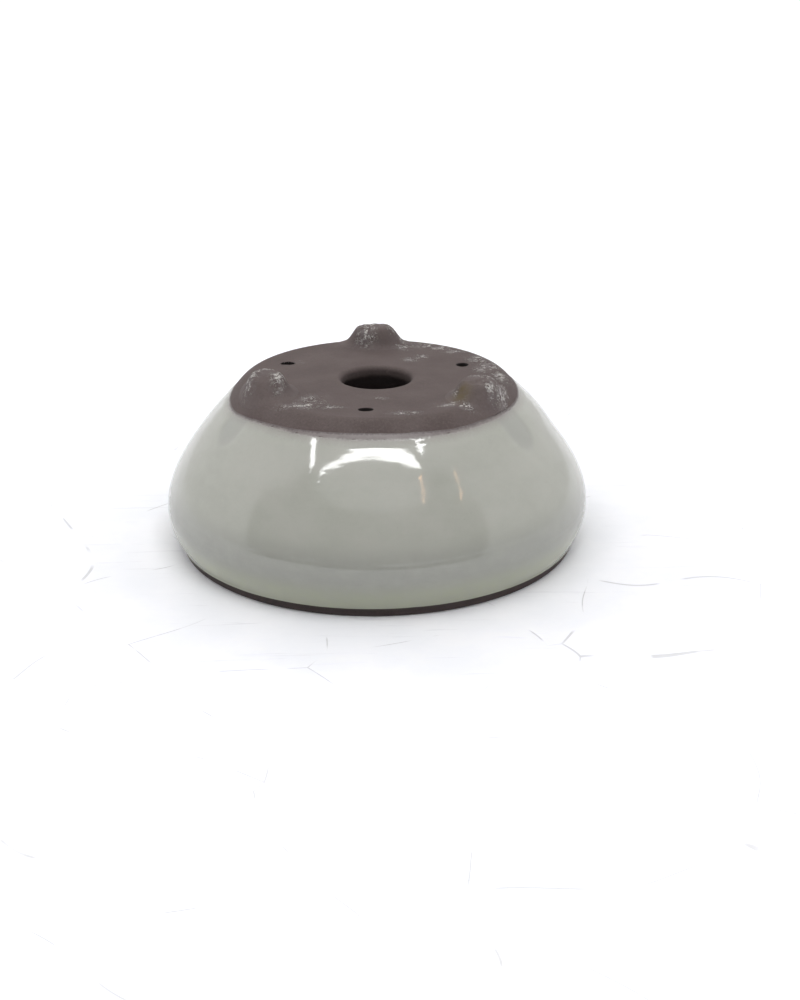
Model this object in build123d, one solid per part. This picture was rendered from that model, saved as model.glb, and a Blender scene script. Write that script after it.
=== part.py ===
from build123d import *
import math
import os

# Round flared bonsai pot, stored mouth down on its rim with its three feet up. Turn it over to plant it.
# Origin at the centre of the rim plane, +Z up through the base, front at -Y. Millimetres.

# Clay wall, outer surface, as radius and height above the rim plane
LIP_FOOT_RADIUS = 79.7
LIP_RADIUS, LIP_HEIGHT = 79.9, 4.1
BELLY_RADIUS, BELLY_HEIGHT = 84.2, 18.3
FLANK_RADIUS, FLANK_HEIGHT = 74.8, 39.6
SHOULDER_RADIUS, SHOULDER_HEIGHT = 64.3, 52.4
BASE_EDGE_RADIUS, BASE_EDGE_HEIGHT = 57.1, 61.7
BASE_FLAT_RADIUS = 49.5
BASE_HEIGHT = 67.4

# Clay thickness
WALL_THICKNESS = 5.0
FLOOR_THICKNESS = 4.5
FLOOR_FLAT_RADIUS = 43.0
RIM_ROUNDING = 1.2
INNER_RIM_RADIUS = 74.9

# Glaze coat on the outside of the wall
GLAZE_THICKNESS = 0.8
GLAZE_FEATHERED_SHARE = 0.12
GLAZE_EDGE_THICKNESS = 0.25
GLAZE_BEAD_ROUNDING = 0.3
COAT_STEPS = 24

# Holes through the base
DRAIN_RADIUS = 13.5
DRAIN_LIP_ROUNDING = 0.9
WIRE_HOLE_RADIUS = 2.4
WIRE_HOLES = {
    "front": (39.6, 264.6),
    "left": (40.3, 152.0),
    "right": (38.5, 23.2),
}

# Feet, luted on by hand, so their spacing isn't quite even. Radii are along the rim.
FOOT_HEIGHT = 8.0
FOOT_TIP_RADIUS = 8.2
FOOT_SKIRT_RADIUS = 14.2
FOOT_FLARE = 1.25
FOOT_SECTIONS = 4
FOOT_TIP_ROUNDING = 2.0
FOOT_ROOT_DEPTH = 6.0
FOOT_WIDTH_SHARE = 0.72
FEET = {
    "foot_back": (45.0, 90.0),
    "foot_left": (45.5, 202.5),
    "foot_right": (46.2, 327.5),
}


def at(radius, height):
    """A point of a profile in the XZ plane."""
    return Vector(radius, 0, height)


def spin(edges):
    """The solid made by turning a closed profile about the pot's axis."""
    return revolve(make_face(edges), Axis.Z)


def wall_curve():
    """The clay wall's outer surface, from the bare lip up to the edge of the base."""
    return Spline(
        at(LIP_RADIUS, LIP_HEIGHT),
        at(BELLY_RADIUS, BELLY_HEIGHT),
        at(FLANK_RADIUS, FLANK_HEIGHT),
        at(SHOULDER_RADIUS, SHOULDER_HEIGHT),
        at(BASE_EDGE_RADIUS, BASE_EDGE_HEIGHT),
    )


def outward(curve, share):
    """The direction square to a profile curve, pointing away from the pot's axis."""
    along = curve % share
    return Vector(along.Z, 0, -along.X)


def parallel(curve, distance, steps):
    """A curve beside another one. distance gives the gap at each share of the length."""
    shares = [i / steps for i in range(steps + 1)]
    return Spline([curve @ s + outward(curve, s) * distance(s) for s in shares])


def base_curve(wall):
    """The rounded clay edge between the wall and the flat of the base."""
    return Spline(
        wall @ 1,
        at(BASE_FLAT_RADIUS, BASE_HEIGHT),
        tangents=[wall % 1, (-1, 0, 0)],
    )


def inner_curve(wall):
    """The inside of the wall, kept parallel to its outside."""
    return parallel(wall, lambda share: -WALL_THICKNESS, COAT_STEPS)


def clay_profile():
    wall = wall_curve()
    rounding = base_curve(wall)
    inside = inner_curve(wall)
    floor_height = BASE_HEIGHT - FLOOR_THICKNESS
    floor_start = at(FLOOR_FLAT_RADIUS, floor_height)
    cove = Spline(inside @ 1, floor_start, tangents=[inside % 1, (-1, 0, 0)])
    rim_outer = at(LIP_FOOT_RADIUS, 0)
    rim_inner = at(INNER_RIM_RADIUS, 0)
    return [
        wall,
        rounding,
        Line(rounding @ 1, at(0, BASE_HEIGHT)),
        Line(at(0, BASE_HEIGHT), at(0, floor_height)),
        Line(at(0, floor_height), floor_start),
        cove,
        inside,
        Line(inside @ 0, rim_inner),
        Line(rim_inner, rim_outer),
        Line(rim_outer, wall @ 0),
    ]


def seat(distance, angle):
    """A place on the base, at a distance from the axis, with local X pointing outward."""
    turn = math.radians(angle)
    return Pos(distance * math.cos(turn), distance * math.sin(turn), BASE_HEIGHT) * Rot(0, 0, angle)


def bore(radius, distance=0.0, angle=0.0):
    """A straight cutter through the base."""
    return seat(distance, angle) * Cylinder(radius, 4 * FLOOR_THICKNESS)


def bowl():
    """The bare clay body with its rounded rim, drain hole and wire holes."""
    body = spin(clay_profile())
    rim = [e for e in body.edges() if abs(e.center().Z) < 0.01 and e.geom_type == GeomType.CIRCLE]
    body = fillet(rim, RIM_ROUNDING)
    body -= bore(DRAIN_RADIUS)
    drain = [
        e for e in body.edges()
        if e.geom_type == GeomType.CIRCLE and abs(e.radius - DRAIN_RADIUS) < 0.01
    ]
    body = fillet(drain, DRAIN_LIP_ROUNDING)
    for distance, angle in WIRE_HOLES.values():
        body -= bore(WIRE_HOLE_RADIUS, distance, angle)
    return body


def coat_thickness(share):
    """Full thickness over most of the wall, thinning out towards the base."""
    left = min(1.0, (1.0 - share) / GLAZE_FEATHERED_SHARE)
    return GLAZE_EDGE_THICKNESS + (GLAZE_THICKNESS - GLAZE_EDGE_THICKNESS) * left


def glaze():
    """The glaze coat, from just above the bare lip to the edge of the base."""
    wall = wall_curve()
    surface = parallel(wall, coat_thickness, COAT_STEPS)
    coat = spin([wall, Line(wall @ 1, surface @ 1), surface, Line(surface @ 0, wall @ 0)])
    bead = coat.edges().filter_by(GeomType.CIRCLE).sort_by(Axis.Z)[0:2].sort_by(SortBy.RADIUS)[-1]
    return fillet(bead, GLAZE_BEAD_ROUNDING)


def foot_section(share):
    """A foot's oval outline at a share of its height, narrow across the rim and long along it."""
    flare = (FOOT_SKIRT_RADIUS - FOOT_TIP_RADIUS) * (1 - share) ** FOOT_FLARE
    radius = FOOT_TIP_RADIUS + flare
    return Pos(0, 0, share * FOOT_HEIGHT) * Ellipse(FOOT_WIDTH_SHARE * radius, radius)


def foot(distance, angle, body):
    """A nub foot, seated on the base and running down over its rounded edge."""
    nub = loft([foot_section(i / FOOT_SECTIONS) for i in range(FOOT_SECTIONS + 1)])
    tip = nub.edges().sort_by(Axis.Z)[-1]
    nub = fillet(tip, FOOT_TIP_ROUNDING)
    nub += extrude(Pos(0, 0, -FOOT_ROOT_DEPTH) * foot_section(0), FOOT_ROOT_DEPTH)
    seated = seat(distance, angle) * nub - body
    return seated.solids().sort_by(SortBy.VOLUME)[-1]


os.makedirs("parts", exist_ok=True)
clay = bowl()
export_step(clay, "parts/bowl.step")
export_step(glaze(), "parts/glaze.step")
for name, (distance, angle) in FEET.items():
    export_step(foot(distance, angle, clay), "parts/" + name + ".step")
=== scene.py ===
import math

import bpy
import numpy as np
from mathutils import Matrix, Vector, noise
from mathutils.bvhtree import BVHTree
from mathutils.geometry import delaunay_2d_cdt


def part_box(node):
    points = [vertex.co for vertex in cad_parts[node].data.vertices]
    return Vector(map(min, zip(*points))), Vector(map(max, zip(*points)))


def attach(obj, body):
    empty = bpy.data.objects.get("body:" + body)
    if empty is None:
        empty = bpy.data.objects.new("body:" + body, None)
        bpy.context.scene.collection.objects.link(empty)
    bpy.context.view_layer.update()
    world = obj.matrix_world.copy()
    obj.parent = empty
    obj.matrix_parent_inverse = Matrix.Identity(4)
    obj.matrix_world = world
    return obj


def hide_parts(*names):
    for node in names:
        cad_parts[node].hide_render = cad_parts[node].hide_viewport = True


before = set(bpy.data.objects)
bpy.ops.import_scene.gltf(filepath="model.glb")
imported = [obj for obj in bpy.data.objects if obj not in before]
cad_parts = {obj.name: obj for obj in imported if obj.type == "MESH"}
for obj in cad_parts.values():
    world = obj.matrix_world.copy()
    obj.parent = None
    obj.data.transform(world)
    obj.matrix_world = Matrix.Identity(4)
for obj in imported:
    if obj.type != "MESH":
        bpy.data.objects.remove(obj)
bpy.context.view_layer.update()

# Lengths below are in millimetres, in the frame's own axes; MM turns them into metres.
MM = 0.001

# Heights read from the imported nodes
BASE_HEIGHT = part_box("bowl")[1].z / MM
LIP_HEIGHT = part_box("glaze")[0].z / MM
COAT_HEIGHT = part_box("glaze")[1].z / MM
FOOT_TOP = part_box("foot_back")[1].z / MM

# Clay body
TURNS = 320
BASE_FLAT_RADIUS = 49.5
WALL_END_HEIGHT = 61.3
RIM_ROUNDING = 1.2
RIM_OUTER_RADIUS = 79.7
RIM_INNER_RADIUS = 74.9
INNER_WALL_END_HEIGHT = 58.0
FLOOR_THICKNESS = 4.5
FLOOR_FLAT_RADIUS = 43.0
FLAT_SPACING = 0.95
FLOOR_SPACING = 2.4
FLOOR_LIP_ROUNDING = 0.3
FLOOR_SPIRAL_DEPTH, FLOOR_SPIRAL_PITCH = 0.06, 5.2
INNER_LINE_DEPTH, INNER_LINE_PITCH = 0.16, 6.1

# Holes: centre x, centre y, radius, rounding of the lip, how ragged and how oval the outline is
HOLES = {
    "drain": (0.4, -1.1, 13.9, 2.0, 0.012, 0.0),
    "wire_front": (-3.73, -40.6, 2.35, 0.3, 0.08, 0.2),
    "wire_left": (-35.58, 18.0, 2.3, 0.3, 0.3, 0.2),
    "wire_right": (35.39, 14.4, 2.4, 0.35, 0.05, 0.0),
}
# Distances from a hole's edge at which its lip gets a ring of points, on the base and on the inner floor
HOLE_RINGS = (0.05, 0.15, 0.3, 0.5, 0.8, 1.2, 1.7, 2.3)
FLOOR_HOLE_RINGS = (0.3, 0.8)
HOLE_POINT_GAP = 0.75

# Small lean of the base, as rise per millimetre along x, and where up the wall it starts
BASE_TILT = -0.0072
TILT_START_HEIGHT = 21.0

# Glaze coat: where its upper edge sits and dips or rises (degrees, spread, rise), how far a thin stain
# runs on above it, how it swells below it, on the right and on both flanks, and the lines left by
# throwing (height, spread, depth)
COAT_COLUMNS, COAT_ROWS = 448, 150
COAT_BEAD = 0.55
COAT_EMBEDDED = 0.25
LIP_DROP = 0.5
EDGE_HEIGHT = 61.5
EDGE_WAVES = ((197.0, 17.0, -1.7), (336.0, 14.0, 0.25), (8.0, 17.0, 1.3), (100.0, 40.0, 0.3))
STAIN_WAVES = ((268.0, 36.0, 1.45), (318.0, 14.0, 0.35), (60.0, 30.0, 0.5), (150.0, 30.0, 0.4))
SWELL_HEIGHT, SWELL_SPREAD = 54.5, 6.8
FLANK_SWELLS = ((25.0, 34.0, 0.9), (155.0, 34.0, 0.9))
FLANK_HEIGHT, FLANK_SPREAD = 51.0, 9.0
THROWING_LINES = (
    (22.8, 0.9, 0.05),
    (19.2, 0.7, 0.06),
    (17.4, 0.8, 0.05),
    (30.5, 1.2, 0.02),
    (12.0, 1.2, 0.03),
)

# Finger marks pressed into the wall below the feet: direction in degrees, half width, where the rounded
# lower end starts, how far it reaches below that, and depth
FINGER_MARKS = (
    (206.0, 7.0, 56.5, 6.5, 0.55),
    (329.5, 7.0, 55.5, 7.0, 0.55),
    (87.0, 6.5, 56.0, 6.0, 0.45),
)
DEEPEST_MARK = max(mark[4] for mark in FINGER_MARKS)

# Feet: half their length along the rim at mid height, how steep and how narrow they are, how far the
# smeared clay reaches, and how many points they get
FOOT_LENGTH = 9.7
FOOT_STEEPNESS = 7.2
FOOT_INWARD_SHARE, FOOT_OUTWARD_SHARE = 0.73, 0.62
FOOT_REACH = 17.0
FOOT_RINGS = 52
FOOT_COLUMNS = 112


def srgb(red, green, blue):
    """A linear colour from display values of 0 to 255."""
    def linear(value):
        share = value / 255
        return share / 12.92 if share <= 0.04045 else ((share + 0.055) / 1.055) ** 2.4
    return (linear(red), linear(green), linear(blue), 1.0)


def smooth(low, high, value):
    """0 below low, 1 above high, and an S-curve between."""
    share = np.clip((value - low) / (high - low), 0.0, 1.0)
    return share * share * (3 - 2 * share)


def bumps(x, y, z, size, seed=0.0):
    """Smooth noise of about -1 to 1, with features about size millimetres wide."""
    return noise.noise(Vector((x / size + seed, y / size - seed, z / size + 0.37 * seed)))


# ---------------------------------------------------------------- profiles

def mean_radius(tree, height, inside=False):
    """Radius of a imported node's surface at a height, as the mean over rays square to the axis."""
    found = []
    for turn in np.linspace(0, 2 * math.pi, 48, endpoint=False) + 0.03:
        way = Vector((math.cos(turn), math.sin(turn), 0))
        level = Vector((0, 0, height * MM))
        hit = tree.ray_cast(level, way)[0] if inside else tree.ray_cast(level + way * 0.2, -way)[0]
        found.append(hit.xy.length / MM)
    return float(np.mean(found))


def fitted_radius(node, low, high, inside=False):
    """A smooth function from height to radius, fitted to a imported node's surface."""
    tree = BVHTree.FromObject(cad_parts[node], bpy.context.evaluated_depsgraph_get())
    heights = np.linspace(low, high, 48)
    radii = [mean_radius(tree, h, inside) for h in heights]
    return np.polynomial.Chebyshev.fit(heights, radii, 9)


clay_wall = fitted_radius("bowl", 1.6, WALL_END_HEIGHT)
glazed_wall = fitted_radius("glaze", LIP_HEIGHT + 0.6, COAT_HEIGHT - 0.15)
inner_wall = fitted_radius("bowl", 1.6, INNER_WALL_END_HEIGHT, inside=True)


def rounded(start, start_way, end, end_way, steps):
    """Points of a cubic from start to end with the given tangents, without its first point."""
    start, end = np.array(start), np.array(end)
    reach = np.linalg.norm(end - start)
    first = start + np.array(start_way) / np.linalg.norm(start_way) * reach / 3
    second = end - np.array(end_way) / np.linalg.norm(end_way) * reach / 3
    share = np.linspace(0, 1, steps + 1)[1:, None]
    left = 1 - share
    return left**3 * start + 3 * left**2 * share * first + 3 * left * share**2 * second + share**3 * end


def wall_way(wall, height):
    """Tangent of a wall as (radius, height), going up."""
    return (float(wall.deriv()(height)), 1.0)


BASE_ROUNDING = rounded(
    (float(clay_wall(WALL_END_HEIGHT)), WALL_END_HEIGHT),
    wall_way(clay_wall, WALL_END_HEIGHT),
    (BASE_FLAT_RADIUS, BASE_HEIGHT),
    (-1.0, 0.0),
    40,
)
COVE = rounded(
    (float(inner_wall(INNER_WALL_END_HEIGHT)), INNER_WALL_END_HEIGHT),
    wall_way(inner_wall, INNER_WALL_END_HEIGHT),
    (FLOOR_FLAT_RADIUS, BASE_HEIGHT - FLOOR_THICKNESS),
    (-1.0, 0.0),
    14,
)


def clay_radius(height):
    """Radius of the clay's outside at a height, over the wall and the rounded edge of the base."""
    if height <= WALL_END_HEIGHT:
        return float(clay_wall(height))
    return float(np.interp(height, BASE_ROUNDING[:, 1], BASE_ROUNDING[:, 0]))


def base_level(radius):
    """Height of the underside of the pot, which faces up, at a distance from the axis."""
    if radius <= BASE_FLAT_RADIUS:
        return BASE_HEIGHT
    return float(np.interp(radius, BASE_ROUNDING[::-1, 0], BASE_ROUNDING[::-1, 1]))


# ---------------------------------------------------------------- hand-made irregularities

def by_hand(points):
    """The same small lean and ovality for every piece, so that they stay in contact."""
    moved = np.array(points, float)
    x, y, z = moved[:, 0].copy(), moved[:, 1].copy(), moved[:, 2].copy()
    lean = smooth(TILT_START_HEIGHT, BASE_HEIGHT, z)
    turn = np.arctan2(y, x)
    oval = 1 - 0.0007 * (1 + np.cos(2 * turn - 0.9)) - 0.0004 * (1 + np.cos(3 * turn + 0.5))
    moved[:, 0] = x * oval
    moved[:, 1] = y * oval
    moved[:, 2] = z + BASE_TILT * x * lean
    return moved


def clay_relief(x, y, z):
    """How far the hand-smoothed clay stands in or out of its ideal surface."""
    return (
        0.06 * bumps(x, y, z, 21.0, 3.1)
        + 0.022 * bumps(x, y, z, 5.5, 8.4)
        + 0.012 * bumps(x, y, z, 1.9, 5.7)
    )


# ---------------------------------------------------------------- mesh helpers

def make_mesh(name, points, faces, material):
    """A smooth-shaded piece from points in millimetres."""
    mesh = bpy.data.meshes.new(name)
    mesh.from_pydata([tuple(p) for p in by_hand(points) * MM], [], faces)
    mesh.validate()
    mesh.update()
    for polygon in mesh.polygons:
        polygon.use_smooth = True
    mesh.materials.append(material)
    piece = bpy.data.objects.new(name, mesh)
    bpy.context.scene.collection.objects.link(piece)
    return piece


def ring(points, radius, height, columns=TURNS):
    """Adds a ring of points about the axis and returns their indices."""
    first = len(points)
    for i in range(columns):
        turn = 2 * math.pi * i / columns
        points.append((radius * math.cos(turn), radius * math.sin(turn), height))
    return list(range(first, first + columns))


def strip(faces, lower, upper):
    """Quads between two rings with the same number of points."""
    count = len(lower)
    for i in range(count):
        j = (i + 1) % count
        faces.append((lower[i], lower[j], upper[j], upper[i]))


def paint(piece, name, value_at):
    """Stores a number for each point of a piece, from its place in millimetres."""
    mesh = piece.data
    layer = mesh.attributes.new(name, "FLOAT", "POINT")
    layer.data.foreach_set("value", [value_at(*(v.co / MM)) for v in mesh.vertices])


# ---------------------------------------------------------------- clay body

def hole_edge(hole, turn):
    """Radius of a hole's slightly ragged outline in a direction."""
    x, y, radius, _, ragged, oval = hole
    wobble = bumps(2.1 * math.cos(turn), 2.1 * math.sin(turn), x + y, 1.4, 2.2)
    return radius * (1 + ragged * wobble + oval * math.cos(2 * turn))


def inside_hole(hole, x, y):
    """How far a point lies inside a hole's outline, negative outside it."""
    across, along = x - hole[0], y - hole[1]
    return hole_edge(hole, math.atan2(along, across)) - math.hypot(across, along)


def hole_lip(distance, rounding):
    """How far the surface drops at a distance from a hole's edge."""
    if distance >= rounding:
        return 0.0
    return rounding - math.sqrt(max(0.0, rounding**2 - (rounding - distance) ** 2))


def flat_points(outer_radius, rings, spacing):
    """Points of a pierced disc: hole outlines and lips first, then a grid, without its outer ring."""
    points, outlines = [], []
    for hole in HOLES.values():
        x, y, radius, *_ = hole
        count = max(28, int(2 * math.pi * radius / HOLE_POINT_GAP))
        outline = []
        for gap in (0.0, *rings):
            for i in range(count):
                turn = 2 * math.pi * i / count
                reach = hole_edge(hole, turn) + gap
                if gap == 0.0:
                    outline.append(len(points))
                points.append((x + reach * math.cos(turn), y + reach * math.sin(turn)))
        outlines.append(outline)
    keep_out = rings[-1] + 0.6 * spacing
    rows = int(outer_radius / (spacing * 0.866)) + 1
    for row in range(-rows, rows + 1):
        y = row * spacing * 0.866
        shift = 0.5 * spacing * (row % 2)
        for column in range(-rows, rows + 1):
            x = column * spacing + shift
            if math.hypot(x, y) > outer_radius - 0.7 * spacing:
                continue
            widest = [(h[0], h[1], h[2] * (1 + h[4] + h[5])) for h in HOLES.values()]
            if any(math.hypot(x - a, y - b) < reach + keep_out for a, b, reach in widest):
                continue
            points.append((x, y))
    return points, outlines


def pierced_flat(points, faces, boundary, outer_radius, rings, spacing, level, upward):
    """Fills a ring with a disc pierced by the holes, and returns each hole's outline."""
    inside, outlines = flat_points(outer_radius, rings, spacing)
    count = len(boundary)
    flat = [Vector(points[i][:2]) for i in boundary] + [Vector(p) for p in inside]
    edges = [(i, (i + 1) % count) for i in range(count)]
    for outline in outlines:
        size = len(outline)
        edges += [(count + outline[i], count + outline[(i + 1) % size]) for i in range(size)]
    made, _, triangles, sources, _, _ = delaunay_2d_cdt(flat, edges, [], 0, 1e-6, True)
    index = {}
    for i, place in enumerate(made):
        source = min(sources[i])
        if source < count:
            index[i] = boundary[source]
        else:
            index[i] = len(points)
            points.append((place.x, place.y, level(place.x, place.y)))
    where = {min(sources[i]): index[i] for i in index}
    for triangle in triangles:
        x = sum(made[i].x for i in triangle) / 3
        y = sum(made[i].y for i in triangle) / 3
        if any(inside_hole(hole, x, y) > 0.02 for hole in HOLES.values()):
            continue
        face = [index[i] for i in triangle]
        faces.append(tuple(face if upward else face[::-1]))
    return [[where[count + i] for i in outline] for outline in outlines]


def top_level(x, y):
    """Height of the base's flat, with the lips of its holes."""
    drop = max(hole_lip(max(0.0, -inside_hole(hole, x, y)), hole[3]) for hole in HOLES.values())
    return BASE_HEIGHT - drop + clay_relief(x, y, BASE_HEIGHT)


def floor_level(x, y):
    """Height of the pot's inner floor, with the softened edges of its holes."""
    rise = max(hole_lip(max(0.0, -inside_hole(hole, x, y)), FLOOR_LIP_ROUNDING) for hole in HOLES.values())
    spiral = math.sin(2 * math.pi * math.hypot(x, y) / FLOOR_SPIRAL_PITCH + math.atan2(y, x))
    return BASE_HEIGHT - FLOOR_THICKNESS + rise + FLOOR_SPIRAL_DEPTH * spiral


def outer_clay_profile():
    """Radius and height of the clay's outside, from under the rim up to the flat of the base."""
    stations = [(76.9, 0.0), (78.0, 0.0)]
    for turn in np.linspace(0, math.pi / 2, 7)[1:]:
        stations.append((
            RIM_OUTER_RADIUS - RIM_ROUNDING * (1 - math.sin(turn)),
            RIM_ROUNDING * (1 - math.cos(turn)),
        ))
    stations += [(float(clay_wall(h)), h) for h in (1.7, 2.2, 2.7, 3.2, 3.7, 4.2, 4.8)]
    stations += [(float(clay_wall(h)) - 0.05, h) for h in np.arange(6.5, 57.0, 3.0)]
    stations += [(float(clay_wall(h)), h) for h in np.linspace(57.4, WALL_END_HEIGHT, 9)]
    return stations + [tuple(p) for p in BASE_ROUNDING[::2]][1:] + [tuple(BASE_ROUNDING[-1])]


def inner_clay_profile():
    """Radius and height of the clay's inside, from under the rim up to the flat of the floor."""
    stations = []
    for turn in np.linspace(0, math.pi / 2, 7):
        stations.append((
            RIM_INNER_RADIUS + RIM_ROUNDING * (1 - math.sin(turn)),
            RIM_ROUNDING * (1 - math.cos(turn)),
        ))
    stations += [(float(inner_wall(h)), h) for h in np.linspace(2.0, INNER_WALL_END_HEIGHT, 76)]
    return stations + [tuple(p) for p in COVE]


def make_body(material):
    """The thrown clay body: rim, wall, rounded base edge, flat base, holes, and the inside."""
    points, faces = [], []
    rings = [ring(points, r, z) for r, z in outer_clay_profile()]
    for lower, upper in zip(rings, rings[1:]):
        strip(faces, lower, upper)
    inside = [rings[0]] + [ring(points, r, z) for r, z in inner_clay_profile()]
    for lower, upper in zip(inside, inside[1:]):
        strip(faces, upper, lower)
    for loop in rings[2:]:
        for i in loop:
            x, y, z = points[i]
            reach = math.hypot(x, y)
            grow = 1 + clay_relief(x, y, z) / reach * float(smooth(0.0, 3.0, z))
            points[i] = (x * grow, y * grow, z)
    for i in rings[-1]:
        x, y, _ = points[i]
        points[i] = (x, y, top_level(x, y))
    for loop in inside[8:-len(COVE)]:
        for i in loop:
            x, y, z = points[i]
            line = math.sin(2 * math.pi * z / INNER_LINE_PITCH + math.atan2(y, x)) * float(smooth(2, 9, z))
            grow = 1 + INNER_LINE_DEPTH * line / math.hypot(x, y)
            points[i] = (x * grow, y * grow, z)
    tops = pierced_flat(
        points, faces, rings[-1], BASE_FLAT_RADIUS, HOLE_RINGS, FLAT_SPACING, top_level, True
    )
    bottoms = pierced_flat(
        points, faces, inside[-1], FLOOR_FLAT_RADIUS, FLOOR_HOLE_RINGS, FLOOR_SPACING, floor_level, False
    )
    for top, bottom in zip(tops, bottoms):
        middle = []
        for high, low in zip(top, bottom):
            a, b = points[high], points[low]
            middle.append(len(points))
            points.append(tuple((p + q) / 2 for p, q in zip(a, b)))
        strip(faces, top, middle)
        strip(faces, middle, bottom)
    return make_mesh("clay_body", points, faces, material)


# ---------------------------------------------------------------- glaze coat

def wave(turn, waves):
    """Sum of soft rises around the pot, each as middle and spread in degrees, and height."""
    degrees = math.degrees(turn) % 360
    total = 0.0
    for middle, spread, rise in waves:
        away = (degrees - middle + 180) % 360 - 180
        total += rise * math.exp(-((away / spread) ** 2))
    return total


def coat_edge(turn):
    """Height at which the opaque glaze ends, in a direction given in radians."""
    x, y = 60 * math.cos(turn), 60 * math.sin(turn)
    uneven = 0.15 * bumps(x, y, 0, 14.0, 6.6) + 0.08 * bumps(x, y, 0, 3.0, 1.5)
    return EDGE_HEIGHT + wave(turn, EDGE_WAVES) + uneven


def coat_top(turn):
    """Height at which the thin stain above the glaze ends."""
    x, y = 60 * math.cos(turn), 60 * math.sin(turn)
    return coat_edge(turn) + 0.3 + wave(turn, STAIN_WAVES) + 0.12 * bumps(x, y, 0, 5.0, 9.9)


def swell(turn, height):
    """How far the glaze swells beyond its even thickness, more on the right and on the flanks."""
    upper = (0.5 + 0.5 * math.cos(turn)) * math.exp(-(((height - SWELL_HEIGHT) / SWELL_SPREAD) ** 2))
    return upper + wave(turn, FLANK_SWELLS) * math.exp(-(((height - FLANK_HEIGHT) / FLANK_SPREAD) ** 2))


def lip_drop(turn):
    """How much lower the glaze starts away from the front, for a turn of 0 to 2 pi."""
    return LIP_DROP * (1 - math.exp(-(((turn - 1.5 * math.pi) / 0.7) ** 2)))


def coat_bottom(turn):
    """Height at which the glaze starts above the bare lip."""
    x, y = 80 * math.cos(turn), 80 * math.sin(turn)
    uneven = 0.14 * bumps(x, y, 0, 22.0, 4.2) + 0.05 * bumps(x, y, 0, 5.0, 7.7)
    return LIP_HEIGHT - lip_drop(turn) + uneven


def finger_mark(x, y, z, soft=0.35):
    """Depth of the finger marks at a point, in millimetres."""
    depth = 0.0
    for middle, half, start, reach, deep in FINGER_MARKS:
        away = (math.degrees(math.atan2(y, x)) - middle + 180) % 360 - 180
        across = math.radians(away) * math.hypot(x, y) / half
        below = max(0.0, start - z) / reach
        depth = max(depth, deep * float(smooth(1.0 + soft, 1.0 - soft, math.hypot(across, below))))
    return depth


def coat_relief(x, y, z):
    """How far the glaze's surface stands in from its ideal shape: throwing lines and soft waves."""
    depth = 0.04 * (1 + bumps(x, y, z, 34.0, 1.2)) + 0.012 * (1 + bumps(x, y, 2.0 * z, 11.0, 9.3))
    wander = 0.9 * bumps(x, y, 0, 38.0, 5.5)
    for height, width, groove in THROWING_LINES:
        share = 1 + 0.9 * bumps(x, y, height, 16.0, 2.4)
        depth += groove * share * math.exp(-(((z - height - wander) / width) ** 2))
    return depth + finger_mark(x, y, z) + 0.003 * math.sin(2 * math.pi * (z + wander) / 2.3)


def make_coat(material):
    """The glaze coat: a thin closed shell with a rolled lower edge and a feathered upper edge."""
    points, faces, loops = [], [], []
    for row in range(COAT_ROWS + 1):
        share = row / COAT_ROWS
        loop = []
        for i in range(COAT_COLUMNS):
            turn = 2 * math.pi * i / COAT_COLUMNS
            low, high = coat_bottom(turn), coat_top(turn)
            height = low + COAT_BEAD + (high - low - COAT_BEAD) * share
            radius = float(glazed_wall(min(max(height, LIP_HEIGHT + 0.3), COAT_HEIGHT - 0.2)))
            edge = coat_edge(turn)
            clay = clay_radius(height)
            clay += clay_relief(clay * math.cos(turn), clay * math.sin(turn), height)
            thin = float(smooth(-0.3, 2.6, edge - height))
            radius = clay + 0.06 + (radius + swell(turn, height) - clay - 0.06) * thin
            x, y = radius * math.cos(turn), radius * math.sin(turn)
            radius -= coat_relief(x, y, height) * thin
            loop.append(len(points))
            points.append((radius * math.cos(turn), radius * math.sin(turn), height))
        loops.append(loop)
    first = []
    for step in (4, 3, 2, 1):
        angle = math.pi / 2 * step / 4
        loop = []
        for i, source in enumerate(loops[0]):
            turn = 2 * math.pi * i / COAT_COLUMNS
            x, y, z = points[source]
            radius = math.hypot(x, y) - 0.5 * COAT_BEAD * (1 - math.cos(angle))
            height = z - COAT_BEAD * math.sin(angle)
            loop.append(len(points))
            points.append((radius * math.cos(turn), radius * math.sin(turn), height))
        first.append(loop)
    outside = first + loops
    inside = []
    for share in (0.0, 0.25, 0.5, 0.75, 1.0):
        loop = []
        for i in range(COAT_COLUMNS):
            turn = 2 * math.pi * i / COAT_COLUMNS
            low, high = coat_bottom(turn) + 0.05, coat_top(turn) - 0.05
            height = low + (high - low) * share
            radius = clay_radius(height) - COAT_EMBEDDED
            loop.append(len(points))
            points.append((radius * math.cos(turn), radius * math.sin(turn), height))
        inside.append(loop)
    for lower, upper in zip(outside, outside[1:]):
        strip(faces, lower, upper)
    for lower, upper in zip(inside, inside[1:]):
        strip(faces, upper, lower)
    strip(faces, inside[0], outside[0])
    strip(faces, outside[-1], inside[-1])
    piece = make_mesh("glaze_coat", points, faces, material)

    def level(x, z):
        """Height of a point before by_hand leaned it."""
        return z - BASE_TILT * x * float(smooth(TILT_START_HEIGHT, BASE_HEIGHT, z))

    paint(piece, "below_edge", lambda x, y, z: coat_edge(math.atan2(y, x)) - level(x, z))
    paint(piece, "finger", lambda x, y, z: finger_mark(x, y, z, 0.2) / DEEPEST_MARK)
    paint(piece, "below_top", lambda x, y, z: coat_top(math.atan2(y, x)) - level(x, z))
    return piece


# ---------------------------------------------------------------- feet

def foot_rise(reach):
    """Height share of a foot at a distance from its middle, measured along the rim."""
    def bell(distance):
        return 1 / (1 + (distance / FOOT_LENGTH) ** FOOT_STEEPNESS)
    tail = bell(FOOT_REACH)
    return (bell(reach) - tail) / (1 - tail)


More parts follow.
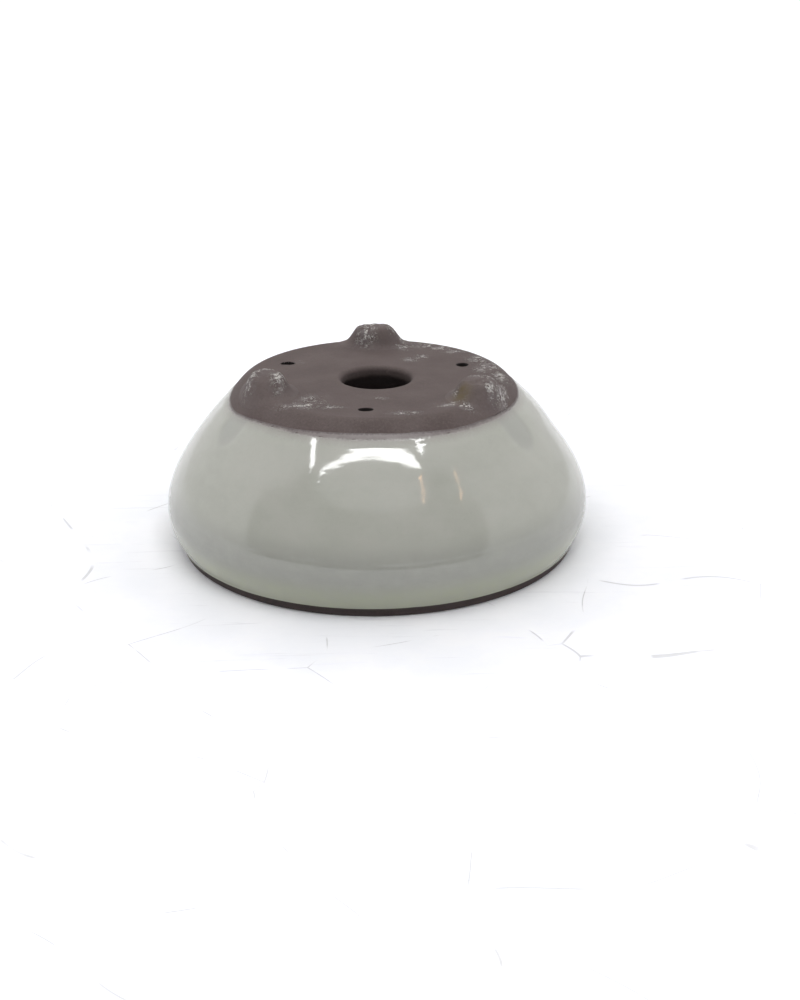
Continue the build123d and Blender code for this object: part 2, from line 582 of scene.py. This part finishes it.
def foot_height(x, y, reach, across, beside, height, seed, lean, ridge, outward):
    """Height of a foot's surface: its own shape, blended into the base and its rounded edge."""
    dents = 0.5 * bumps(x, y, 0, 5.0, seed) + 0.2 * bumps(x, y, 0, 2.0, seed + 2)
    groove = math.exp(-(((beside - 2.2 * math.sin(seed)) / 1.3) ** 2))
    groove *= float(smooth(1.0, 5.0, abs(across)))
    crest = ridge * math.exp(-((beside / 1.7) ** 2)) * float(smooth(1.5, 5.0, across))
    top = height * (1 + lean[0] * across + lean[1] * beside) - 0.1 + dents - 0.25 * groove + crest
    ground = base_level(min(math.hypot(x, y), 56.6)) + clay_relief(x, y, BASE_HEIGHT)
    seat = BASE_HEIGHT + (ground - BASE_HEIGHT) * float(smooth(8.0, 14.0, reach))
    longer = 1 + outward * max(0.0, across / (0.1 + math.hypot(across, beside)))
    own = seat + top * foot_rise(reach / longer)
    edge = float(smooth(0.84, 1.0, reach / FOOT_REACH))
    return min(own - 0.35 * edge, BASE_HEIGHT + height)


def make_foot(node, name, height, seed, material, lean=(0.0, 0.0), ridge=0.0, outward=0.0):
    """A nub foot pinched out of soft clay and smeared onto the base and over its rounded edge.

    lean tilts its top along and across the way outward, ridge raises a crest that runs outward, and
    outward makes its outer slope longer.
    """
    low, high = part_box(node)
    centre = (low + high) / 2 / MM
    away = Vector((centre.x, centre.y)).normalized()
    along = Vector((-away.y, away.x))
    points, faces, loops = [], [], []
    for step in range(FOOT_RINGS + 1):
        reach = FOOT_REACH * step / FOOT_RINGS
        loop = []
        for i in range(1 if step == 0 else FOOT_COLUMNS):
            turn = 2 * math.pi * i / FOOT_COLUMNS
            ragged = 1 + 0.07 * bumps(3 * math.cos(turn), 3 * math.sin(turn), 0, 2.2, seed)
            share = FOOT_OUTWARD_SHARE if math.cos(turn) > 0 else FOOT_INWARD_SHARE
            across = reach * share * math.cos(turn) * ragged
            beside = reach * math.sin(turn) * ragged
            x = centre.x + away.x * across + along.x * beside
            y = centre.y + away.y * across + along.y * beside
            loop.append(len(points))
            z = foot_height(x, y, reach, across, beside, height, seed, lean, ridge, outward)
            points.append((x, y, z))
        loops.append(loop)
    under = []
    for i in loops[-1]:
        x, y, z = points[i]
        under.append(len(points))
        points.append((x, y, z - 0.6))
    bottom = len(points)
    points.append((centre.x, centre.y, BASE_HEIGHT - 3.5))
    for i in range(FOOT_COLUMNS):
        j = (i + 1) % FOOT_COLUMNS
        faces.append((0, loops[1][i], loops[1][j]))
        faces.append((bottom, under[j], under[i]))
    for lower, upper in zip(loops[1:], loops[2:]):
        strip(faces, upper, lower)
    strip(faces, under, loops[-1])
    return make_mesh(name, points, faces, material)


# ---------------------------------------------------------------- materials

class Nodes:
    """Short names for building a material's node tree."""

    def __init__(self, name):
        self.material = bpy.data.materials.new(name)
        self.material.use_nodes = True
        self.tree = self.material.node_tree
        self.shader = self.tree.nodes["Principled BSDF"]

    def add(self, kind, settings=None, **inputs):
        """A node with its inputs set or linked, each named by label or as _0, _1 and so on."""
        node = self.tree.nodes.new(kind)
        for key, value in (settings or {}).items():
            setattr(node, key, value)
        for key, value in inputs.items():
            socket = node.inputs[int(key[1:]) if key[1:].isdigit() else key.replace("_", " ")]
            if isinstance(value, bpy.types.NodeSocket):
                self.tree.links.new(value, socket)
            else:
                socket.default_value = value
        return node

    def place(self):
        """The point's place on the object in millimetres."""
        coordinates = self.add("ShaderNodeTexCoord")
        scaled = self.add("ShaderNodeVectorMath", {"operation": "SCALE"}, _0=coordinates.outputs["Object"])
        scaled.inputs["Scale"].default_value = 1 / MM
        return scaled.outputs[0]

    def clouds(self, place, size, detail=3.0, roughness=0.55, distortion=0.0, stretch=(1, 1, 1), shift=0.0):
        """Noise of 0 to 1 with features about size millimetres wide."""
        mapped = self.add("ShaderNodeMapping", _0=place)
        mapped.inputs["Scale"].default_value = stretch
        mapped.inputs["Location"].default_value = (shift, 2 * shift, -shift)
        made = self.add("ShaderNodeTexNoise", _0=mapped.outputs[0])
        made.inputs["Scale"].default_value = 1 / size
        made.inputs["Detail"].default_value = detail
        made.inputs["Roughness"].default_value = roughness
        made.inputs["Distortion"].default_value = distortion
        return made.outputs["Fac"]

    def span(self, value, low, high, to_low=0.0, to_high=1.0, curve="SMOOTHSTEP"):
        """Maps low..high to to_low..to_high, clamped."""
        made = self.add("ShaderNodeMapRange", {"interpolation_type": curve}, _0=value)
        for index, number in ((1, low), (2, high), (3, to_low), (4, to_high)):
            made.inputs[index].default_value = number
        return made.outputs[0]

    def math(self, operation, a, b=0.0):
        made = self.add("ShaderNodeMath", {"operation": operation}, _0=a, _1=b)
        return made.outputs[0]

    def mix(self, share, a, b, blend="MIX"):
        """Mixes two colours."""
        made = self.add("ShaderNodeMix", {"data_type": "RGBA", "blend_type": blend}, _0=share, _6=a, _7=b)
        return made.outputs[2]

    def attribute(self, name):
        return self.add("ShaderNodeAttribute", {"attribute_name": name}).outputs["Fac"]

    def bump(self, height, distance, strength):
        """A normal shaken by a height of 0 to 1 that stands for distance millimetres."""
        made = self.add("ShaderNodeBump", Height=height)
        made.inputs["Strength"].default_value = strength
        made.inputs["Distance"].default_value = distance * MM
        return made.outputs[0]

    def link(self, value, socket):
        self.tree.links.new(value, self.shader.inputs[socket])


def clay_material(name, dark, light):
    """Unglazed stoneware: fine grain, iron specks, mineral crust and ochre where painted, and painted shade
    in the holes and on the lip.
    """
    n = Nodes(name)
    place = n.place()
    broad = n.clouds(place, 14.0, 4.0)
    fine = n.clouds(place, 1.0, 5.0, 0.65, shift=11.0)
    grain = n.clouds(place, 0.3, 2.0, 0.5, shift=23.0)
    colour = n.mix(n.span(broad, 0.25, 0.75), srgb(*dark), srgb(*light))
    colour = n.mix(n.span(fine, 0.4, 0.7, 0.0, 0.4), colour, srgb(116, 105, 102))
    colour = n.mix(n.span(grain, 0.3, 0.5, 0.4, 0.0), colour, srgb(72, 61, 61))
    specks = n.add("ShaderNodeTexVoronoi", _0=place, Scale=0.5)
    iron = n.span(specks.outputs["Distance"], 0.05, 0.12, 0.55, 0.0)
    colour = n.mix(iron, colour, srgb(58, 47, 47))
    # Painted shade: darker clay in the holes and on the lip, near black in the painted shadow under the
    # glaze's edge
    painted_shade = n.attribute("painted_shade")
    colour = n.mix(painted_shade, colour, srgb(46, 38, 39))
    colour = n.mix(n.span(painted_shade, 0.8, 1.0), colour, srgb(24, 19, 18))
    veil_noise = n.clouds(place, 3.2, 5.0, 0.6, shift=53.0)
    veil = n.math("MULTIPLY", n.attribute("crust"), n.span(veil_noise, 0.4, 0.65, 0.0, 0.5))
    colour = n.mix(veil, colour, srgb(150, 145, 146))
    clump = n.span(n.clouds(place, 2.3, 4.0, 0.6, shift=41.0), 0.40, 0.60)
    flake = n.math("ABSOLUTE", n.math("SUBTRACT", n.clouds(place, 1.5, 4.0, 0.6, 0.9, shift=71.0), 0.5))
    reach = n.math("MULTIPLY", n.math("MULTIPLY", n.attribute("crust"), clump), 0.062)
    crust = n.span(n.math("SUBTRACT", reach, flake), -0.002, 0.012)
    colour = n.mix(n.math("MULTIPLY", crust, 0.92), colour, srgb(216, 213, 208))
    ochre = n.math("MULTIPLY", n.attribute("ochre"), n.span(veil_noise, 0.25, 0.6, 0.35, 0.9))
    colour = n.mix(ochre, colour, srgb(104, 92, 66))
    n.link(colour, "Base Color")
    n.link(n.span(fine, 0.3, 0.7, 0.66, 0.86), "Roughness")
    height = n.math("ADD", n.math("MULTIPLY", fine, 0.55), n.math("MULTIPLY", grain, 0.3))
    height = n.math("ADD", height, n.math("MULTIPLY", crust, 0.8))
    n.link(n.bump(height, 0.16, 1.0), "Normal")
    n.shader.inputs["Specular IOR Level"].default_value = 0.3
    return n.material


def glaze_material():
    """Glossy grey-green celadon, yellower green low on the wall as painted bounce light from the table, and
    broken to brown where it thins out.
    """
    n = Nodes("celadon_glaze")
    place = n.place()
    below = n.attribute("below_edge")
    drift = n.clouds(place, 26.0, 3.0, stretch=(1, 1, 1.8))
    cloud = n.clouds(place, 6.5, 4.0, 0.6, stretch=(1, 1, 1.4), shift=7.0)
    fleck = n.clouds(place, 0.7, 3.0, 0.6, shift=19.0)
    colour = n.mix(n.span(drift, 0.3, 0.7), srgb(168, 169, 160), srgb(174, 174, 166))
    colour = n.mix(n.span(cloud, 0.3, 0.75, 0.0, 0.4), colour, srgb(178, 178, 170))
    colour = n.mix(n.span(fleck, 0.58, 0.74, 0.0, 0.2), colour, srgb(152, 152, 141))
    height = n.add("ShaderNodeSeparateXYZ", _0=place).outputs["Z"]
    pooled = n.math("MULTIPLY", n.span(height, 32.0, 21.0), n.span(cloud, 0.2, 0.7, 0.5, 0.8))
    colour = n.mix(pooled, colour, srgb(151, 152, 145))
    # Painted bounce light: yellower green low on the wall, next to the table
    bounce_tint = n.math("MULTIPLY", n.span(height, 17.0, 8.0), n.span(cloud, 0.2, 0.7, 0.55, 0.9))
    colour = n.mix(bounce_tint, colour, srgb(168, 171, 149))
    edge_noise = n.span(n.clouds(place, 1.0, 5.0, 0.7, shift=31.0), 0.25, 0.75, -0.5, 0.5, "LINEAR")
    edge = n.math("ADD", below, edge_noise)
    # Painted shade: the glaze is darker inside the finger marks
    colour = n.mix(n.math("MULTIPLY", n.attribute("finger"), 0.45), colour, srgb(152, 153, 148))
    bloom = n.span(edge, 3.4, 0.5, 0.0, 0.4)
    colour = n.mix(bloom, colour, srgb(140, 134, 131))
    stain = n.span(edge, 0.95, -0.1)
    colour = n.mix(stain, colour, n.mix(n.span(cloud, 0.3, 0.7), srgb(118, 109, 108), srgb(132, 124, 122)))
    fade = n.span(n.math("ADD", n.attribute("below_top"), edge_noise), 0.75, 0.1)
    colour = n.mix(fade, colour, srgb(90, 80, 79))
    n.link(colour, "Base Color")
    rough = n.math("ADD", n.span(cloud, 0.3, 0.7, 0.045, 0.075), n.span(edge, 1.2, 0.1, 0.0, 0.38))
    n.link(rough, "Roughness")
    skin = n.clouds(place, 2.6, 2.0, 0.45, stretch=(1, 1, 2.6), shift=3.0)
    peel = n.clouds(place, 1.1, 1.0, 0.5, shift=61.0)
    surface = n.math("ADD", n.math("MULTIPLY", skin, 0.35), n.math("MULTIPLY", peel, 0.5))
    n.link(n.bump(surface, 0.05, 0.3), "Normal")
    n.shader.inputs["IOR"].default_value = 1.6
    return n.material


def floor_material():
    """A plain pale table top with faint wear, that glows as painted light, more strongly away from the pot.
    """
    n = Nodes("pale_table")
    place = n.place()
    worn = n.clouds(place, 38.0, 5.0, 0.6)
    streaks = n.clouds(place, 3.0, 4.0, 0.7, 0.4, stretch=(0.06, 1.0, 1.0), shift=5.0)
    colour = n.mix(n.span(worn, 0.35, 0.65), srgb(236, 237, 242), srgb(243, 243, 247))
    colour = n.mix(n.span(streaks, 0.6, 0.72, 0.0, 0.4), colour, srgb(206, 206, 212))
    # Hairlines are the edges of large bent cells, shown here and there
    swirl = n.add("ShaderNodeTexNoise", _0=place, Scale=1 / 60, Detail=0.0)
    wider = n.add("ShaderNodeVectorMath", {"operation": "SCALE"}, _0=swirl.outputs["Color"], Scale=36.0)
    bent = n.add("ShaderNodeVectorMath", {"operation": "ADD"}, _0=place, _1=wider.outputs[0])
    cells = n.add("ShaderNodeTexVoronoi", {"feature": "DISTANCE_TO_EDGE"}, _0=bent.outputs[0], Scale=1 / 62)
    here = n.span(n.clouds(place, 24.0, 2.0, shift=17.0), 0.5, 0.6, 0.0, 0.42)
    scratch = n.math("MULTIPLY", n.span(cells.outputs["Distance"], 0.0055, 0.0025), here)
    colour = n.mix(scratch, colour, srgb(120, 118, 118))
    n.link(colour, "Base Color")
    n.link(n.span(worn, 0.3, 0.7, 0.42, 0.5), "Roughness")
    # Painted light: the table glows, from nothing near the pot to more further out
    reach = n.add("ShaderNodeVectorMath", {"operation": "LENGTH"}, _0=place).outputs["Value"]
    n.shader.inputs["Emission Color"].default_value = (1, 1, 1, 1)
    n.link(n.span(reach, 80.0, 190.0, 0.055, 0.24), "Emission Strength")
    return n.material


# ---------------------------------------------------------------- build the pieces

# Mineral crust on the base: x, y, spread along x, spread along y, strength
CRUSTS = (
    (-27.0, -35.5, 7.5, 3.2, 1.0),
    (-24.5, -28.0, 5.0, 5.0, 0.6),
    (-19.0, -37.5, 6.0, 1.8, 0.7),
    (10.5, -44.7, 5.0, 1.8, 1.0),
    (2.0, -27.4, 2.6, 1.3, 0.7),
    (28.5, -36.5, 5.0, 2.6, 1.0),
    (33.0, -38.2, 4.0, 1.5, 0.8),
    (30.5, -29.5, 1.2, 3.0, 0.8),
    (12.6, 37.7, 3.5, 3.0, 0.8),
    (20.4, 41.0, 4.5, 3.5, 1.0),
    (27.5, 37.5, 5.0, 3.0, 0.9),
    (33.0, 33.0, 4.0, 3.0, 0.8),
    (14.7, 22.0, 3.0, 2.5, 0.85),
    (19.3, 26.0, 2.4, 3.0, 0.9),
    (42.6, 22.0, 4.5, 4.5, 0.95),
    (46.5, 12.5, 4.0, 5.0, 1.0),
    (43.5, 8.0, 3.5, 4.0, 0.85),
    (49.9, -1.8, 3.5, 6.0, 0.95),
    (-31.1, 18.9, 1.6, 1.8, 0.7),
    (-48.0, -18.0, 3.0, 4.5, 0.75),
    (-46.0, -14.5, 3.0, 3.0, 0.85),
    (-37.6, -21.0, 2.6, 5.5, 1.0),
    (-42.5, -12.0, 5.0, 1.8, 0.8),
    (-3.2, 40.5, 3.6, 4.0, 1.0),
    (-1.0, 47.0, 6.5, 1.8, 0.9),
    (6.5, 43.5, 2.0, 2.5, 0.6),
    (11.4, 43.0, 2.0, 2.0, 0.7),
    (39.0, -21.0, 5.0, 2.0, 0.8),
    (45.0, -21.0, 4.0, 3.0, 0.85),
    (43.5, -29.0, 2.5, 3.0, 0.9),
    (48.0, -25.0, 2.2, 5.0, 1.0),
    (49.5, -17.0, 2.0, 5.0, 0.85),
)
# The ochre stain beside the right foot, in the same order
OCHRES = ((32.6, -32.2, 3.4, 3.4, 1.0),)
UPSIDE_HEIGHT = 60.0


def blobs(places, x, y):
    """The strongest of several soft oval patches at a point."""
    return max(s * math.exp(-(((x - a) / u) ** 2 + ((y - b) / v) ** 2)) for a, b, u, v, s in places)


def crust_at(x, y, z):
    return blobs(CRUSTS, x, y) if z > UPSIDE_HEIGHT else 0.0


def ochre_at(x, y, z):
    return blobs(OCHRES, x, y) if z > UPSIDE_HEIGHT else 0.0


def painted_shade_at(x, y, z):
    """How far painted shade darkens the clay: in the holes, on the bare lip, and as a painted shadow under
    the glaze's edge.
    """
    if z < 12 and math.hypot(x, y) > 77:
        under = z + lip_drop(math.atan2(y, x) % (2 * math.pi))
        # Painted shadow in the crevice under the glaze's edge, and painted shade on the lip below it
        crevice = float(smooth(3.1, 3.6, under)) * float(smooth(5.2, 4.8, z))
        return max(crevice, 0.5 * float(smooth(4.6, 3.0, z)))
    if z < BASE_HEIGHT - FLOOR_THICKNESS + 0.4 or math.hypot(x, y) > 48:
        return 0.0
    # Painted shade inside the wire holes, and faintly down the drain hole's wall
    drain, *wires = HOLES.values()
    wire = max(inside_hole(hole, x, y) for hole in wires)
    deep = drain[2] - math.hypot(x - drain[0], y - drain[1])
    return max(0.95 * float(smooth(-0.35, 0.0, wire)), 0.15 * float(smooth(-1.2, 0.1, deep)))


body_clay = clay_material("bare_clay", (85, 74, 72), (96, 85, 83))
foot_clay = clay_material("foot_clay", (90, 80, 79), (105, 94, 91))
coat_glaze = glaze_material()

body = make_body(body_clay)
coat = make_coat(coat_glaze)
foot_back = make_foot("foot_back", "foot_back_clay", FOOT_TOP - BASE_HEIGHT, 2.0, foot_clay)
foot_left = make_foot(
    "foot_left", "foot_left_clay", 7.2, 5.0, foot_clay, lean=(-0.012, -0.004), outward=0.3
)
foot_right = make_foot(
    "foot_right", "foot_right_clay", 6.6, 9.0, foot_clay, lean=(-0.016, 0.0), ridge=1.2, outward=0.42
)
feet = {"foot_back": foot_back, "foot_left": foot_left, "foot_right": foot_right}
for piece in (body, *feet.values()):
    paint(piece, "crust", crust_at)
    paint(piece, "ochre", ochre_at)
    paint(piece, "painted_shade", painted_shade_at)

for piece, node, slot in ((body, "bowl", "bare_clay"), (coat, "glaze", "celadon_glaze")):
    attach(piece, "root")
    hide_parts(node)
for node, piece in feet.items():
    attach(piece, "root")
    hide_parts(node)


# ---------------------------------------------------------------- floor, light and camera

TABLE_HALF_SIZE = 4.0


def make_floor():
    """A large plain table top under the pot."""
    mesh = bpy.data.meshes.new("floor")
    half = TABLE_HALF_SIZE
    corners = [(-half, -half, 0), (half, -half, 0), (half, half, 0), (-half, half, 0)]
    mesh.from_pydata(corners, [], [(0, 1, 2, 3)])
    mesh.materials.append(floor_material())
    floor = bpy.data.objects.new("floor", mesh)
    bpy.context.scene.collection.objects.link(floor)


def toward(azimuth, elevation):
    """Unit direction: azimuth 0 is the front, positive to the right, in degrees."""
    a, e = math.radians(azimuth), math.radians(elevation)
    return Vector((math.sin(a) * math.cos(e), -math.cos(a) * math.cos(e), math.sin(e)))


def seen_from(way, distance, height):
    """Placement that looks along -way, from a distance in metres, at a height on the pot's axis."""
    turn = (-way).to_track_quat("-Z", "Y").to_matrix().to_4x4()
    return Matrix.Translation(way * distance + Vector((0, 0, height))) @ turn


def make_ceiling_light():
    """A soft square light above the pot."""
    data = bpy.data.lights.new("ceiling", "AREA")
    data.shape = "RECTANGLE"
    data.size = data.size_y = CEILING_SIZE
    data.energy = CEILING_POWER
    lamp = bpy.data.objects.new("ceiling", data)
    lamp.matrix_world = seen_from(toward(*CEILING_WAY), CEILING_DISTANCE, CEILING_AIM_HEIGHT)
    bpy.context.scene.collection.objects.link(lamp)


# Ceiling light: azimuth and elevation in degrees, metres and watts
CEILING_WAY = (20, 84)
CEILING_DISTANCE, CEILING_AIM_HEIGHT = 1.6, 0.04
CEILING_SIZE, CEILING_POWER = 1.2, 1.2

# Surroundings, as brightness by direction. Azimuths are from the front, positive to the right.
ROOM_BRIGHTNESS = 0.9
FRONT_BRIGHTNESS = 0.06
RIGHT_DIMMING = -0.12
# Dim sector: left and right sides as azimuth at the horizon and lean, top as elevation
DIM_LEFT, DIM_LEFT_LEAN = 70.5, 0.33
DIM_RIGHT, DIM_RIGHT_LEAN = 56.0, 0.35
DIM_TOP = 50.0
# Lit panels: brightness, azimuth from and to, then lower and upper edges as quadratics of the azimuth
PANELS = (
    (13.0, -49.5, 39.5, (62.5, -0.03, -0.0056), (68.7, 0.04, -0.0058)),
    (14.0, -81.0, -57.4, (23.4, -0.45, 0.0), (20.1, -0.55, 0.0)),
    (14.0, 47.0, 72.0, (42.0, 0.35, 0.0), (47.0, 0.36, 0.0)),
)
# Thin warm lines: azimuth from and to, middle as a quadratic of the azimuth, brightness
WARM_LINES = ((34.6, 37.8, (45.3, 0.15, 0.0), 24.0), (60.0, 64.2, (37.3, 0.11, 0.0), 15.0))


def make_world():
    """Bright surroundings, a dim sector on the camera's side, bright panels and thin warm lines.

    The camera itself sees plain white.
    """
    world = bpy.data.worlds.new("studio")
    bpy.context.scene.world = world
    world.use_nodes = True
    tree = world.node_tree
    tree.nodes.clear()

    def node(kind, **settings):
        made = tree.nodes.new(kind)
        for key, value in settings.items():
            setattr(made, key, value)
        return made

    def feed(value, socket):
        if isinstance(value, bpy.types.NodeSocket):
            tree.links.new(value, socket)
        else:
            socket.default_value = value

    def calc(operation, a, b=0.0):
        made = node("ShaderNodeMath", operation=operation)
        feed(a, made.inputs[0])
        feed(b, made.inputs[1])
        return made.outputs[0]

    def span(value, low, high):
        made = node("ShaderNodeMapRange", interpolation_type="SMOOTHSTEP")
        feed(value, made.inputs[0])
        feed(low, made.inputs[1])
        feed(high, made.inputs[2])
        return made.outputs[0]

    way = node("ShaderNodeTexCoord").outputs["Generated"]
    parts = node("ShaderNodeSeparateXYZ")
    feed(way, parts.inputs[0])
    forward = calc("MULTIPLY", parts.outputs["Y"], -1.0)
    azimuth = calc("DEGREES", calc("ARCTAN2", parts.outputs["X"], forward))
    elevation = calc("DEGREES", calc("ARCSINE", parts.outputs["Z"]))

    def between(value, low, high, soft):
        """1 between low and high with soft ends."""
        return calc("MULTIPLY", span(value, low - soft, low + soft), span(value, high + soft, high - soft))

    def above(start, slope, curve):
        """How far a direction's elevation is above a quadratic of its azimuth."""
        rise = calc("MULTIPLY", calc("ADD", calc("MULTIPLY", azimuth, curve), slope), azimuth)
        return calc("SUBTRACT", elevation, calc("ADD", rise, start))

    # The dim sector is a dome: its sides lean outward and its shoulders are rounded off
    past_left = calc("ADD", calc("ADD", azimuth, DIM_LEFT), calc("MULTIPLY", elevation, DIM_LEFT_LEAN))
    right_side = calc("ADD", calc("MULTIPLY", elevation, DIM_RIGHT_LEAN), DIM_RIGHT)
    past_right = calc("SUBTRACT", right_side, azimuth)
    sides = calc("MULTIPLY", span(past_left, -2.0, 2.0), span(past_right, -2.0, 2.0))
    shoulder = calc("MAXIMUM", calc("SUBTRACT", calc("ABSOLUTE", calc("ADD", azimuth, 4.0)), 54.0), 0.0)
    ceiling = calc("SUBTRACT", DIM_TOP, calc("MULTIPLY", shoulder, 0.5))
    front = calc("MULTIPLY", sides, span(calc("SUBTRACT", ceiling, elevation), -1.5, 1.5))
    light = calc("ADD", ROOM_BRIGHTNESS, calc("MULTIPLY", span(azimuth, 0.0, 75.0), RIGHT_DIMMING))
    dimmed = calc("MULTIPLY", front, 1 - FRONT_BRIGHTNESS / ROOM_BRIGHTNESS)
    light = calc("MULTIPLY", light, calc("SUBTRACT", 1.0, dimmed))

    for strength, low, high, bottom, top in PANELS:
        lit = calc("MULTIPLY", span(above(*bottom), -0.3, 0.3), span(above(*top), 0.3, -0.3))
        lit = calc("MULTIPLY", lit, between(azimuth, low, high, 0.5))
        light = calc("ADD", light, calc("MULTIPLY", lit, strength))

    warm = 0.0
    for low, high, middle, strength in WARM_LINES:
        across = between(azimuth, low, high, 0.4)
        line = calc("MULTIPLY", across, between(above(*middle), -0.12, 0.12, 0.08))
        warm = calc("ADD", warm, calc("MULTIPLY", line, strength))

    seen = node("ShaderNodeLightPath").outputs["Is Camera Ray"]
    pick = node("ShaderNodeMix", data_type="FLOAT")
    feed(seen, pick.inputs[0])
    feed(light, pick.inputs[2])
    pick.inputs[3].default_value = 1.0
    shade = node("ShaderNodeBackground")
    feed(pick.outputs[0], shade.inputs["Strength"])
    shade.inputs["Color"].default_value = (1, 1, 1, 1)
    glow = node("ShaderNodeBackground")
    feed(warm, glow.inputs["Strength"])
    glow.inputs["Color"].default_value = (1.0, 0.55, 0.28, 1)
    both = node("ShaderNodeAddShader")
    feed(shade.outputs[0], both.inputs[0])
    feed(glow.outputs[0], both.inputs[1])
    out = node("ShaderNodeOutputWorld")
    feed(both.outputs[0], out.inputs[0])


# Camera: metres, degrees and millimetres of focal length, found by fitting the photo's outline
CAMERA_DISTANCE = 0.68
CAMERA_ELEVATION = 20.88
CAMERA_AIM_HEIGHT = 0.02975
CAMERA_ROLL = -0.877
CAMERA_LENS = 60.3
CAMERA_SHIFT = (0.0234, -0.0355)


def make_camera():
    """The photograph's viewpoint."""
    data = bpy.data.cameras.new("camera")
    data.sensor_width = 36.0
    data.lens = CAMERA_LENS
    data.shift_x, data.shift_y = CAMERA_SHIFT
    camera = bpy.data.objects.new("camera", data)
    roll = Matrix.Rotation(math.radians(CAMERA_ROLL), 4, "Z")
    way = toward(0.0, CAMERA_ELEVATION)
    camera.matrix_world = seen_from(way, CAMERA_DISTANCE, CAMERA_AIM_HEIGHT) @ roll
    bpy.context.scene.collection.objects.link(camera)
    bpy.context.scene.camera = camera


make_floor()
make_world()
make_ceiling_light()
make_camera()

scene = bpy.context.scene
scene.view_settings.view_transform = "Standard"
scene.view_settings.look = "None"
